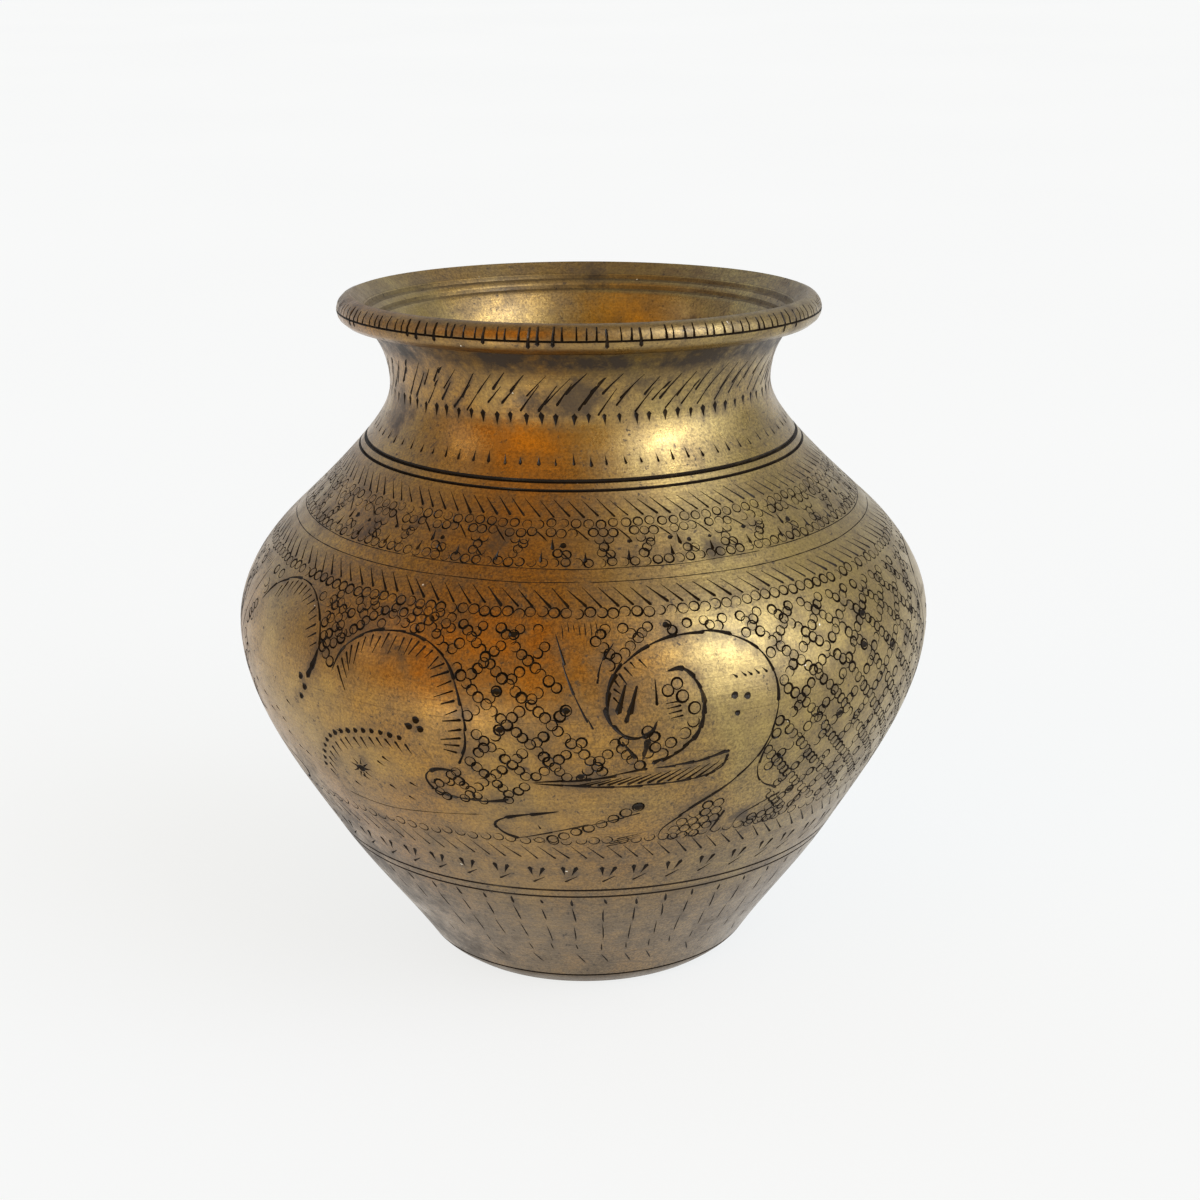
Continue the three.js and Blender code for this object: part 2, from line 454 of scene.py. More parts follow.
def rim_band():
    """Chisel ticks down the bead's upper side to its crease, now and then struck over it."""
    for u in around(146):
        u += jitter(0.6)
        top, bottom = RIM_TICK_TOP + jitter(0.5), RIM_CREASE + rng.uniform(-0.1, 0.5)
        half = rng.uniform(0.24, 0.42)
        if rng.random() < 0.2:
            bottom = RIM_CREASE - rng.uniform(0.5, 1.6)
            half = 0.5
        yield wedge((u + jitter(0.3), top), (u, bottom), half, 0.34, 0.6)


# Figures of the frieze. Points are on the plane, from the figure's own place.
DOME = [(-14.2, 1), (-12.3, 5.4), (-7.5, 8.9), (-1.5, 10), (3, 9.4), (7.5, 6.4), (9.9, 2), (11, -3)]
DOME += [(11.1, -7), (9.6, -10.4)]
DOME_TIP = [(9, -12.2), (5.2, -12.4), (3.2, -14.2), (4, -16.6), (6.4, -17.8), (12, -18.2), (17, -17.4)]
DOME_DOTS = [(-21, -18), (-19.6, -15), (-17.6, -12), (-14.6, -9.6), (-10.6, -8.2), (-5.4, -7.2), (-0.6, -7.4)]
DOME_NICKS = [(-5, -14), (-3, -12.6), (-9, -18.4), (-4, -19), (-12, -20.6), (1.4, -17.4), (-0.6, -20.4)]
UNDER_DOME = [(-15, 0), (-20, -4), (-27, -12), (-27, -30), (19, -30), (17, -18.5), (4.5, -18.5), (2.6, -14)]
UNDER_DOME += [(10, -11.8), (11.5, -6)]
SIDE_DOME = [(-13, 4), (-9.5, 8.4), (-3.5, 11), (2.5, 10.6), (6.8, 7.6), (9.2, 4), (10, 0.6), (8.8, -2.6)]
UNDER_SIDE_DOME = [(-14, 5), (-16, -30), (14, -30), (12, -8), (10.5, 1)]
SCROLL = [(-6.3, -1.2), (-7.3, -3.2), (-9.4, -4), (-11.5, -3.3), (-13.3, -1.2), (-14, 1.6), (-13.3, 5)]
SCROLL += [(-11.4, 7.8), (-8, 10.2), (-3.8, 11.8), (0.5, 12.3), (5, 11.9), (9, 10.3), (12, 7.8), (13.8, 4.4)]
SCROLL += [(14.4, 0.8), (14, -3), (12.9, -7), (10.6, -11), (6.6, -15), (2.4, -18), (-1, -21)]
UNDER_SCROLL = [(-26, -11.5), (-8, -9.4), (-4, -6), (12, -8), (13.5, -13), (15, -20), (22, -30), (-42, -30)]
LEAF = [(-4.4, 6.2), (-1.8, 6.5), (0.2, 4.6), (1.2, 2.2), (1.4, -0.6), (0.3, -4), (-2.4, -6.6), (-6.6, -8.6)]
LEAF_RINGS = [(-2.9, 4.3), (-4.4, 3.4), (-2.1, 2.4), (-0.3, 0.2), (-0.4, -1.9), (-1.9, -3.8), (-4, -5)]
LEAF_RINGS += [(-5.4, -7)]
# Strokes in the scroll's curl: start, end, half-width
CURL_STROKES = (
    ((-11, 4.6), (-12.2, 0.6), 0.55),
    ((-9.2, 4.4), (-10.4, 0.4), 0.55),
    ((-10, 2.2), (-11, -1), 0.4),
    ((-6.3, 5.2), (-6.2, 1.4), 0.26),
    ((-11.6, -4.4), (-9.6, -7.2), 0.4),
    ((-8.3, -7.6), (-7.7, -4.7), 0.6),
    ((-4.8, 1.4), (-2.6, 1.6), 0.18),
    ((-4.6, 0.6), (-2.5, 0.9), 0.18),
    ((-4.4, -0.2), (-2.4, 0.1), 0.18),
    ((-4, -1), (-2.2, -0.7), 0.18),
)
PANEL = [(-25, 16), (-16.5, 16), (-13.8, 6), (-13, -5), (-19, -2.5)]
SIDE_LINE = [(13.4, -7), (12, -10), (12, -13.4), (13.6, -16.4), (17, -18.4)]
HOOK = [(11.5, 4.4), (4.6, 2.9), (1.2, 1.6), (0, 0), (1.2, -2), (3.4, -3.2)]
HOOK_RINGS = [(7.5, -3.6), (11, -2.8), (13.5, -1.2), (18, 0.6), (22, 3.2), (24.8, 5)]
GROUND_LINE = [(-48, -21), (-38, -21.6), (-28, -20.4), (-18, -19)]


def moved(points, u, v, facing=1):
    """A figure's points at its place on the plane, mirrored where it faces left."""
    return [(u + facing * a, v + b) for a, b in points]


def inward_hatch(outline, length, spacing, side=-1):
    """Short strokes set along a contour, pointing in from it, back at its start and on at its end."""
    line = smooth_run(outline, spacing)
    away = np.gradient(line, axis=0)
    away /= np.linalg.norm(away, axis=1)[:, None]
    for k, point in enumerate(line[1:-1], 1):
        inward = np.array([-away[k][1], away[k][0]]) * side
        way = inward * rng.uniform(0.75, 0.95) + away[k] * (1.1 * k / len(line) - 0.7 + jitter(0.15))
        start = point + inward * rng.uniform(0.5, 1.1)
        half = rng.uniform(0.15, 0.26)
        yield wedge(start + way * length * rng.uniform(0.7, 1.25), start, half, 0.18, 0.4)


def three_dots(u, v, spots=((-1.1, -0.3), (0.2, 0.95), (0.9, -0.5))):
    for a, b in spots:
        yield pit((u + a, v + b), 0.57 * rng.uniform(0.85, 1.15))


def small_flower(u, v):
    """A pit with short strokes round it."""
    here = np.array([u, v])
    yield pit(here, 0.75, 0.28)
    for k in range(9):
        turn = math.radians(40 * k + jitter(8))
        way = np.array([math.cos(turn), math.sin(turn)])
        yield wedge(here + way * 2.3, here + way * 1.05, 0.2, 0.18, 0.2)


def dome_figure(u, v):
    """A mango shape seen from outside its curl: hatched contour, an arc of dots, a flower and stray nicks."""
    yield from chased_line(moved(DOME, u, v), 0.17, 0.2)
    yield from inward_hatch(moved(DOME, u, v), 3.1, 1.6)
    yield from chased_line(moved(DOME_TIP, u, v), 0.22, 0.2)
    yield from three_dots(u + 2.6, v - 4.7)
    for a, b in smooth_run(moved(DOME_DOTS, u, v), 1.75):
        yield pit((a, b), rng.uniform(0.42, 0.6))
        tip = a + 1 + jitter(0.2), b - 1.1
        yield wedge((a + 2.2 + jitter(0.3), b - 3 + jitter(0.3)), tip, 0.28, 0.2)
    yield from small_flower(u - 10.6, v - 15.8)
    for a, b in moved(DOME_NICKS, u, v):
        at = a + jitter(0.5), b + jitter(0.5)
        yield wedge(at, (at[0] - 1.3, at[1] + 0.8), 0.27, 0.2)
    for at in moved([(5.2, -15.2), (7.2, -14.6), (9, -14.2), (10.2, -17.2)], u, v):
        yield hand_ring(at)


def side_dome_figure(u, v):
    """A smaller mango shape: hatched contour that ends in a bold tip, and three dots below."""
    yield from chased_line(moved(SIDE_DOME, u, v), 0.15, 0.18)
    yield from inward_hatch(moved(SIDE_DOME[1:-1], u, v), 2.6, 1.7)
    yield from chased_line(moved([(10, 1.4), (9.6, -1), (8.2, -3.6)], u, v), 0.3, 0.24, 3)
    yield from three_dots(u + 6, v - 5.6, ((0.2, 1.6), (1.2, 0), (0, -1.9)))
    for _ in range(9):
        at = u + rng.uniform(-12, 8), v - rng.uniform(10, 21)
        yield wedge(at, (at[0] - 1.2, at[1] + 0.7), 0.25, 0.18)


def scroll_figure(u, v, facing):
    """A mango shape with its tip curled in: a leaf of rings in the curl, three dots, a long feather below."""
    place = lambda points: moved(points, u, v, facing)
    yield from chased_line(place(SCROLL[:8]), 0.26, 0.24, 2.5)
    yield from chased_line(place(SCROLL[7:]), 0.18, 0.2, 5)
    yield from chased_line(place(LEAF), 0.23, 0.22, 2.2)
    for p, q, half in CURL_STROKES:
        yield wedge(*place((p, q)), half, 0.24, 0.35)
    for at in place(LEAF_RINGS):
        yield hand_ring(at, 0.95)
    yield from three_dots(u + facing * 7.6, v + 0.6, ((-1.1, 0.8), (1.1, 0.4), (-0.7, -2.1)))
    for k in range(5):
        a = 6.4 + 1.3 * k + jitter(0.2)
        yield wedge(*place([(a, 4.9 + jitter(0.2)), (a + 0.8, 4.2)]), 0.24, 0.14)
    yield from inward_hatch(place(SCROLL[5:9]), 1.7, 1.4, -facing)
    yield from feather(place)


def feather(place):
    """A long leaf that starts in a point and widens, filled with slanted strokes."""
    upper = [(-25.9, -12), (-16, -11), (-7.6, -9.6)]
    lower = [(-25.9, -12.2), (-14, -12.8), (-4, -12.9), (2, -12.2), (4.8, -10.9), (5.6, -8.8)]
    crest = [(-6.4, -9.5), (0, -9.2), (5.8, -7.8)]
    yield from chased_line(place(upper), 0.18, 0.18)
    yield from chased_line(place(lower), 0.19, 0.18)
    yield from chased_line(place(crest), 0.19, 0.2, 3)
    for k in range(14):
        a = -18.5 + 1.6 * k
        rise = 0.35 + 0.15 * k
        yield wedge(*place([(a + 3.6, -11.8 + rise), (a, -12.4)]), rng.uniform(0.18, 0.3), 0.2, 0.3)


def hooked_leaf(u, v, facing):
    """A leaf open at one end, with a row of rings along it and a filled ring at its tip."""
    place = lambda points: moved(points, u, v, facing)
    yield from chased_line(place(HOOK), 0.22, 0.2)
    yield from chased_line(place([HOOK[-1], (14, 0.2), (25, 3.4)]), 0.13, 0.12, 6)
    for k, at in enumerate(place(smooth_run(HOOK_RINGS, 2.3))):
        yield hand_ring(at, 0.98)
        if k > 7:
            yield pit(at, 0.8, 0.2)
    yield wedge(*place([(7.6, 0.9), (8, -0.1)]), 0.22, 0.16)
    for k in range(4):
        p, q = place([(26 - 0.6 * k, -2 - 0.7 * k), (21.6 - 0.6 * k, -3.2 - 0.7 * k)])
        yield wedge(p, q, 0.17, 0.15, 0.3)


def ring_lobe(u, v, rows, facing):
    """A lobe packed with rings that leans to one side, with a cut line on either side."""
    place = lambda points: moved(points, u, v, facing)
    for row, count in enumerate(rows):
        for k in range(count):
            yield hand_ring(*place([(1.1 * row + (k - (count - 1) / 2) * 2.05, 1.85 * row)]), 0.96)
    wide = max(rows) + 0.6
    top = 1.85 * len(rows)
    left = [(-wide - 0.4, 0), (1 - wide, 3.4), (top * 0.6 - 1, top + 1)]
    right = [(wide + 0.6, -0.4), (wide + 1.6, 2.4), (wide + 2.4, 5)]
    yield from chased_line(place(left), 0.14, 0.13, 6)
    yield from chased_line(place(right), 0.24, 0.2, 3)


def side_panel(u, v, facing):
    """A plain three-sided panel beside the scroll, with a few upright ticks."""
    place = lambda points: moved(points, u, v, facing)
    yield from chased_line(place([(-22.2, 13.4), (-19.4, 5), (-16.2, -2)]), 0.13, 0.12, 5)
    yield from chased_line(place([(-12.4, 11.6), (-14.4, 8.6), (-15.4, 5)]), 0.13, 0.12, 3)
    for k in range(7):
        a = 0.95 * k - 21
        yield stroke(*place([(a, 15.2 + jitter(0.3)), (a + 0.3, 12.9 + jitter(0.8))]), 0.1, 0.08)


def inside(point, polygon):
    """Whether a point lies inside a polygon."""
    x, y = point
    hit = False
    for (x0, y0), (x1, y1) in zip(polygon, polygon[1:] + polygon[:1]):
        if (y0 > y) != (y1 > y) and x < (x1 - x0) * (y - y0) / (y1 - y0) + x0:
            hit = not hit
    return hit


def is_free(u, v, blank, taken, gap):
    """Whether a ring can be struck here: outside every figure, and a gap from the other rings' centres."""
    if any(inside((u + turn, v), shape) for shape in blank for turn in (0, TURN)):
        return False
    return all((u - a) ** 2 + (v - b) ** 2 > gap * gap for a, b in taken)


def packed_rings(blank, taken):
    """Rings crowded together over and between the domed figures."""
    for start in REPEATS:
        for _ in range(170):
            at = start + rng.uniform(-50, -22), rng.uniform(7, 17)
            if is_free(*at, blank, taken, 1.05):
                taken.append(at)
                yield hand_ring(at, 0.84)


def lattice(blank):
    """Chains of ring punches that cross in diamonds, wherever no figure is."""
    taken = []
    for way in (1, -1):
        for k in range(-4, int(TURN / DIAMOND) + 5):
            foot = (k + 0.25) * DIAMOND - TURN / 2
            drop = 0.0
            while drop < LATTICE_DEPTH:
                drop += LATTICE_STEP * rng.uniform(0.9, 1.12)
                u = foot + way * (drop - 20) + jitter(0.14) + 0.4 * math.sin(drop * 0.35 + k)
                v = LATTICE_TOP - drop
                on_band = abs(u) <= TURN / 2 - 1.5 and v >= LATTICE_LOW
                if not on_band or not is_free(u, v, blank, taken, LATTICE_GAP):
                    continue
                taken.append((u, v))
                yield hand_ring((u, v), LATTICE_RING)
                if rng.random() < 0.015:
                    yield pit((u, v), 0.55, 0.18)
    yield from packed_rings(blank, taken)


def grow(points, by):
    """A polygon moved out from its middle by a distance, for the space kept free round a figure."""
    p = np.array(points, float)
    middle = p.mean(0)
    away = p - middle
    size = np.linalg.norm(away, axis=1)[:, None]
    return [tuple(q) for q in middle + away * (size + by) / size]


def frieze():
    """The broad band round the belly: two repeats of its figures, joined by the ring lattice."""
    blank = []
    keep_free = lambda shapes, *place: blank.extend(moved(shape, *place) for shape in shapes)
    for start in REPEATS:
        yield from dome_figure(start - 30, 2.6)
        keep_free((grow(DOME, 1), UNDER_DOME), start - 30, 2.6)
        yield from side_dome_figure(start - 58, 5.2)
        keep_free((grow(SIDE_DOME, 1), UNDER_SIDE_DOME), start - 58, 5.2)
        for here, facing in ((start + 17.2, 1), (start + 92, -1)):
            yield from scroll_figure(here, 1.2, facing)
            yield from hooked_leaf(here - facing * 33.4, -21.6, facing)
            yield from side_panel(here, 1.2, facing)
            yield from ring_lobe(here + facing * 0.4, -25.4, (3, 4, 4, 3, 2), facing)
            yield from ring_lobe(here + facing * 16, -25.6, (5, 4, 2), facing)
            yield from chased_line(moved(SIDE_LINE, here, 1.2, facing), 0.13)
            keep_free((grow(SCROLL, 1), UNDER_SCROLL, PANEL), here, 1.2, facing)
        yield thin_line(moved(GROUND_LINE, start, 0))
    yield from lattice(blank)


# Meshes


def settle(cuts, low, high):
    """Cuts that lie on the sheet between low and high, each moved round by whole turns to its place."""
    kept = []
    for cut in cuts:
        cut.points[:, 0] -= TURN * round(cut.points[:, 0].mean() / TURN)
        reach = cut.half.max() + SHEET_CLEARANCE
        across = abs(cut.points[:, 0]).max() + reach < TURN / 2
        if across and cut.points[:, 1].min() - reach > low and cut.points[:, 1].max() + reach < high:
            kept.append(cut)
    return kept


def cut_edges(cut, points, edges):
    """Adds a cut's two sides and its bottom line to the points and edges of the triangulation."""
    p = cut.points
    along = np.roll(p, -1, 0) - np.roll(p, 1, 0) if cut.closed else np.gradient(p, axis=0)
    side = np.stack([-along[:, 1], along[:, 0]], -1)
    side /= np.linalg.norm(side, axis=1)[:, None] + 1e-12
    blunt = [] if cut.closed else [end for end in (0, -1) if cut.half[end] > 0]
    lines = [p + side * cut.half[:, None], p - side * cut.half[:, None], p]
    starts = []
    for line in lines:
        starts.append(len(points))
        points.extend(map(tuple, line))
        count = len(line)
        edges.extend((starts[-1] + k, starts[-1] + k + 1) for k in range(count - 1))
        if cut.closed:
            edges.append((starts[-1] + count - 1, starts[-1]))
    for end in blunt:
        k = end % len(p)
        out = along[end] / (np.linalg.norm(along[end]) + 1e-12) * (1 if end else -1)
        cap = len(points)
        points.append(tuple(p[end] + out * cut.half[end]))
        edges.extend([(starts[0] + k, cap), (starts[1] + k, cap)])


def cut_depth(points, cuts):
    """How deep the cuts are at each point, and how far down its cut the point is, from 0 to 1."""
    order = np.argsort(points[:, 0])
    u, v = points[order].T
    depth, share = np.zeros(len(points)), np.zeros(len(points))
    for cut in cuts:
        p, h, d = cut.points, cut.half, cut.depth
        if cut.closed:
            p, h, d = (np.concatenate([row, row[:1]]) for row in (p, h, d))
        for a, b, ha, hb, da, db in zip(p, p[1:], h, h[1:], d, d[1:]):
            reach = max(ha, hb) + 1e-4
            first, last = np.searchsorted(u, (min(a[0], b[0]) - reach, max(a[0], b[0]) + reach))
            near = np.arange(first, last)
            near = near[(v[near] > min(a[1], b[1]) - reach) & (v[near] < max(a[1], b[1]) + reach)]
            if not len(near):
                continue
            way = b - a
            from_a = np.stack([u[near] - a[0], v[near] - a[1]], -1)
            t = np.clip(from_a @ way / (way @ way + 1e-12), 0, 1)
            gap = np.linalg.norm(from_a - t[:, None] * way, axis=1)
            in_cut = np.clip(1 - gap / (ha + (hb - ha) * t + 1e-6), 0, 1)
            at = order[near]
            share[at] = np.maximum(share[at], in_cut)
            depth[at] = np.maximum(depth[at], in_cut * (da + (db - da) * t))
    return depth, share


def soot(points, cuts, low, high):
    """Grime that the cuts hold round them: how crowded they are near each point, from 0 to 1."""
    wide, tall = int(TURN / SOOT_CELL) + 1, int((high - low) / SOOT_CELL) + 2
    crowd = np.zeros((wide, tall))
    for cut in cuts:
        length = np.linalg.norm(np.diff(cut.points, axis=0), axis=1).sum()
        i = ((cut.points[:, 0] + TURN / 2) / SOOT_CELL).astype(int) % wide
        j = ((cut.points[:, 1] - low) / SOOT_CELL).astype(int).clip(0, tall - 1)
        np.add.at(crowd, (i, j), (length + 0.6) * cut.half.max() / len(cut.points))
    for _ in range(3):
        for axis in (0, 1):
            crowd = sum(np.roll(crowd, k, axis) for k in (-1, 0, 1)) / 3
    i = (points[:, 0] + TURN / 2) / SOOT_CELL - 0.5
    j = (points[:, 1] - low) / SOOT_CELL - 0.5
    i0, j0 = np.floor(i).astype(int), np.floor(j).astype(int)
    fi, fj = i - i0, j - j0
    pick = lambda a, b: crowd[a % wide, np.clip(b, 0, tall - 1)]
    mixed = pick(i0, j0) * (1 - fi) * (1 - fj) + pick(i0 + 1, j0) * fi * (1 - fj)
    mixed += pick(i0, j0 + 1) * (1 - fi) * fj + pick(i0 + 1, j0 + 1) * fi * fj
    return np.clip(mixed / FULL_CROWD, 0, 1)


def turned_rows(grooves, low, high, extra):
    """The sheet's rows, as v: evenly spread, with the edges and bottoms of turned grooves among them."""
    fixed = {low, high, *extra}
    for v, half, _ in grooves:
        fixed |= {v - half, v, v + half}
    fixed = sorted(x for x in fixed if low <= x <= high)
    rows = []
    for a, b in zip(fixed, fixed[1:]):
        rows += list(np.linspace(a, b, max(1, round((b - a) / ROW_STEP)), endpoint=False))
    return rows + [high], fixed


def triangulated(points, edges):
    """Points and triangles of the plane that keep to all the edges; points that fall together are one."""
    made = delaunay_2d_cdt([Vector(p) for p in points], edges, [], 0, 1e-4)
    flat = np.array([tuple(p) for p in made[0]])
    _, first, number = np.unique(flat.round(3), axis=0, return_index=True, return_inverse=True)
    faces = number.reshape(-1)[np.array(made[2], int)]
    return flat[first], faces[(faces != np.roll(faces, 1, 1)).all(1)]


class Sheet:
    """The unrolled outside between two heights, triangulated round its cuts and rolled up again."""

    def __init__(self, outline, low, high, cuts=(), grooves=(), extra=()):
        cuts = settle(cuts, low, high)
        rows, fixed = turned_rows(grooves, low, high, extra)
        across = np.linspace(-TURN / 2, TURN / 2, COLUMNS + 1)
        points = [(u, v) for v in rows for u in across]
        edges = []
        for k, v in enumerate(rows):
            start = k * (COLUMNS + 1)
            if min(abs(v - x) for x in fixed) < 1e-9:
                edges += [(start + i, start + i + 1) for i in range(COLUMNS)]
            if k:
                edges += [(start - COLUMNS - 1, start), (start - 1, start + COLUMNS)]
        for cut in cuts:
            cut_edges(cut, points, edges)
        self.flat, self.faces = triangulated(points, edges)
        middle = self.flat[self.faces].mean(1)
        self.depth, _ = cut_depth(self.flat, cuts)
        _, self.cut = cut_depth(middle, cuts)
        for v, half, deep in grooves:
            share = np.clip(1 - abs(self.flat[:, 1] - v) / half, 0, 1)
            self.depth = np.maximum(self.depth, share * deep)
            self.cut = np.maximum(self.cut, 1 - abs(middle[:, 1] - v) / half)
        self.cut = (self.cut > 0.1).astype(float)
        self.grime_and_shade = soot(self.flat, cuts, low, high)
        self.roll_up(outline)

    def roll_up(self, outline):
        """Places every point on the pot, sunk by the depth of its cut."""
        radius, height, normal_r, normal_z = outline.at(self.flat[:, 1])
        turn = FRONT + self.flat[:, 0] / TURN * 2 * math.pi
        depth = self.depth * radius / BELLY_RADIUS
        out = radius - depth * normal_r
        self.place = np.stack([out * np.cos(turn), out * np.sin(turn), height - depth * normal_z], -1)
        self.normal = np.stack([normal_r * np.cos(turn), normal_r * np.sin(turn), normal_z], -1)


class Body:
    """One closed mesh: a sheet of the outside, and turned faces that go on from it and come back to it."""

    def __init__(self):
        self.points, self.normals, self.grime_and_shade = [], [], []
        self.faces, self.kinds, self.cut, self.maps = [], [], [], []
        self.count = 0
        self.reach = 0.0

    def add_points(self, place, normal, grime_and_shade):
        self.points.append(place)
        self.normals.append(normal)
        self.grime_and_shade.append(grime_and_shade)
        first = self.count
        self.count += len(place)
        return first

    def add_faces(self, faces, kinds, cut, maps):
        self.faces.append(np.array(faces, int))
        self.kinds.append(np.broadcast_to(kinds, len(faces)))
        self.cut.append(np.broadcast_to(cut, len(faces)))
        self.maps.append(np.array(maps, float))

    def add_sheet(self, sheet, low, high):
        """Adds a sheet between two of its rows, joined up at the back. Returns both edge loops."""
        middle = sheet.flat[sheet.faces].mean(1)[:, 1]
        chosen = (middle > low) & (middle < high)
        faces, cut = sheet.faces[chosen], sheet.cut[chosen]
        used = np.unique(faces)
        u, v = sheet.flat.T
        left = {round(v[i], 3): i for i in used if u[i] < TOUCH - TURN / 2}
        twin = {i: left[round(v[i], 3)] for i in used if u[i] > TURN / 2 - TOUCH}
        kept = np.array([i for i in used if i not in twin])
        number = np.full(len(sheet.flat), -1)
        number[kept] = np.arange(len(kept)) + self.count
        for doubled, one in twin.items():
            number[doubled] = number[one]
        self.add_points(sheet.place[kept], sheet.normal[kept], sheet.grime_and_shade[kept])
        self.add_faces(number[faces], np.where(cut > 0, IN_CUT, ON_SHEET), cut, sheet.flat[faces] - (0, low))
        self.reach = high - low + 1
        sides = np.sort(np.concatenate([faces[:, [0, 1]], faces[:, [1, 2]], faces[:, [2, 0]]]), 1)
        sides, uses = np.unique(sides, axis=0, return_counts=True)
        outermost = np.isin(kept, sides[uses == 1])
        loops = []
        for edge_v in (low, high):
            edge = kept[outermost & (abs(v[kept] - edge_v) < TOUCH)]
            edge = edge[np.argsort(u[edge])]
            loops.append((number[edge], u[edge]))
        return loops

    def add_ring(self, radius, height, grime_and_shade):
        """Adds one ring of points. Returns its edge loop."""
        u = np.arange(INNER_SIDES) / INNER_SIDES * TURN - TURN / 2
        turn = FRONT + u / TURN * 2 * math.pi
        place = np.stack([radius * np.cos(turn), radius * np.sin(turn), np.full(INNER_SIDES, height)], -1)
        first = self.add_points(place, np.zeros_like(place), np.full(INNER_SIDES, float(grime_and_shade)))
        return np.arange(first, first + INNER_SIDES), u

    def join(self, one, other, cut=0.0):
        """Fills the strip between two edge loops; a face looks out when the first lies under the second."""
        (a, ua), (b, ub) = one, other
        ua, ub = np.append(ua, ua[0] + TURN), np.append(ub, ub[0] + TURN)
        low, high = self.reach, self.reach + MAP_STEP
        faces, maps = [], []
        i = j = 0
        while i < len(a) or j < len(b):
            if j == len(b) or (i < len(a) and ua[i + 1] <= ub[j + 1]):
                faces.append((a[i], a[(i + 1) % len(a)], b[j % len(b)]))
                maps.append(((ua[i], low), (ua[i + 1], low), (ub[j], high)))
                i += 1
            else:
                faces.append((a[i % len(a)], b[(j + 1) % len(b)], b[j]))
                maps.append(((ua[i], low), (ub[j + 1], high), (ub[j], high)))
                j += 1
        self.add_faces(faces, TURNED, cut, maps)
        self.reach = high

    def turn_on(self, loop, section, grime_and_shade, last=None):
        """Turns on from an edge loop through a section's points: radius, height and whether it is cut."""
        for radius, height, *cut in section:
            ring = self.add_ring(radius, height, grime_and_shade)
            self.join(loop, ring, *cut)
            loop = ring
        if last:
            self.join(loop, last)
        return loop

    def pole(self, loop, height, grime_and_shade, upward):
        """Closes an edge loop with a fan to a point on the axis."""
        ring, u = loop
        tip = self.add_points(np.array([[0, 0, height]]), np.zeros((1, 3)), np.full(1, grime_and_shade))
        following = np.roll(ring, -1)
        fan = [(a, b, tip) if upward else (b, a, tip) for a, b in zip(ring, following)]
        step = TURN / len(ring)
        maps = [((x, self.reach), (x + step, self.reach), (x + step / 2, self.reach + MAP_STEP)) for x in u]
        self.add_faces(fan, TURNED, 0.0, maps)
        self.reach += MAP_STEP + 0.5

    def object(self, name, node, material):
        """Makes the piece, with its normals and attributes, and hides the node it stands for."""
        points = lean(np.concatenate(self.points)) * MM
        faces = np.concatenate(self.faces)
        mesh = bpy.data.meshes.new(name)
        mesh.from_pydata(points.tolist(), [], faces.tolist())
        mesh.update()
        for key, rows, domain in (("cut", self.cut, "FACE"), ("grime_and_shade", self.grime_and_shade, "POINT")):
            attribute = mesh.attributes.new(key, "FLOAT", domain)
            attribute.data.foreach_set("value", np.concatenate(rows).astype(np.float32))
        maps = np.concatenate(self.maps).reshape(-1, 2)
        maps = (maps + (TURN / 2, 0)) / (TURN * 1.02, self.reach * 1.01)
        mesh.uv_layers.new(name="OFBake").data.foreach_set("uv", maps.astype(np.float32).ravel())
        mesh.set_sharp_from_angle(angle=math.radians(30))
        mesh.normals_split_custom_set(self.corner_normals(points, faces).reshape(-1, 3).tolist())
        mesh.materials.append(material)
        piece = bpy.data.objects.new(name, mesh)
        bpy.context.scene.collection.objects.link(piece)
        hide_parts(node)
        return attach(piece, "root")

    def corner_normals(self, points, faces):
        """The outline's own normals on the sheet, flat ones in its cuts, and none set elsewhere."""
        kinds = np.concatenate(self.kinds)
        corner = points[faces]
        flat = np.cross(corner[:, 1] - corner[:, 0], corner[:, 2] - corner[:, 0])
        flat /= np.linalg.norm(flat, axis=1)[:, None] + 1e-30
        normals = np.zeros((len(faces), 3, 3))
        normals[kinds == IN_CUT] = flat[kinds == IN_CUT][:, None]
        on_sheet = kinds == ON_SHEET
        normals[on_sheet] = np.concatenate(self.normals)[faces[on_sheet]]
        return normals


# The five turned pieces


def wall_line(z0, z1, depth):
    """(radius, height) points of the wall at a depth, from one height to another."""
    count = max(2, round(abs(z1 - z0) / 2.5) + 1)
    return list(zip(*wall_point(np.linspace(z0, z1, count), depth)))


def tongue_and_inside(seam, lower_seam):
    """Section from an upper seam over its tongue, down the inside, to the rebate round the tongue below."""
    section = [tuple(wall_point(seam, TONGUE_DEPTH))]
    section += wall_line(seam, seam + LAP, TONGUE_DEPTH)[1:]
    section += wall_line(seam + LAP, lower_seam + LAP, WALL)
    return section + wall_line(lower_seam + LAP, lower_seam, SKIN_DEPTH)


def body_sheet():
    """Everything engraved between the base seam and the neck seam."""
    cuts = [*shoulder_band(), *frieze_border(), *frieze(), *lower_border(), *cone_marks()]
    grooves = [
        (v_of(COLLAR), *NECK_GROOVE),
        (v_of(COLLAR - 1.25), *UPPER_NECK_GROOVE),
        (v_of(BASE_SEAM + 23.4), *CONE_GROOVE),
        (v_of(BASE_SEAM + 21.8), *CONE_GROOVE),
        (v_of(BASE_SEAM), *BASE_GROOVE),
    ]
    return Sheet(BODY, v_of(BASE_SEAM), v_of(COLLAR), cuts, grooves, [0.0])


def parted(sheet, v, up):
    """Moves a sheet's points on a seam half the seam's gap up or down."""
    on_seam = abs(sheet.flat[:, 1] - v) < TOUCH
    sheet.place[on_seam, 2] += SEAM_GAP / 2 * up


def engraved_bowl(sheet, material):
    body = Body()
    parted(sheet, 0.0, -1)
    low, high = body.add_sheet(sheet, v_of(BASE_SEAM), 0.0)
    parted(sheet, 0.0, 1)
    body.turn_on(high, tongue_and_inside(BELLY - SEAM_GAP, BASE_SEAM + SEAM_GAP), 0.5, low)
    return body.object("engraved_bowl", "lower_bowl", material)


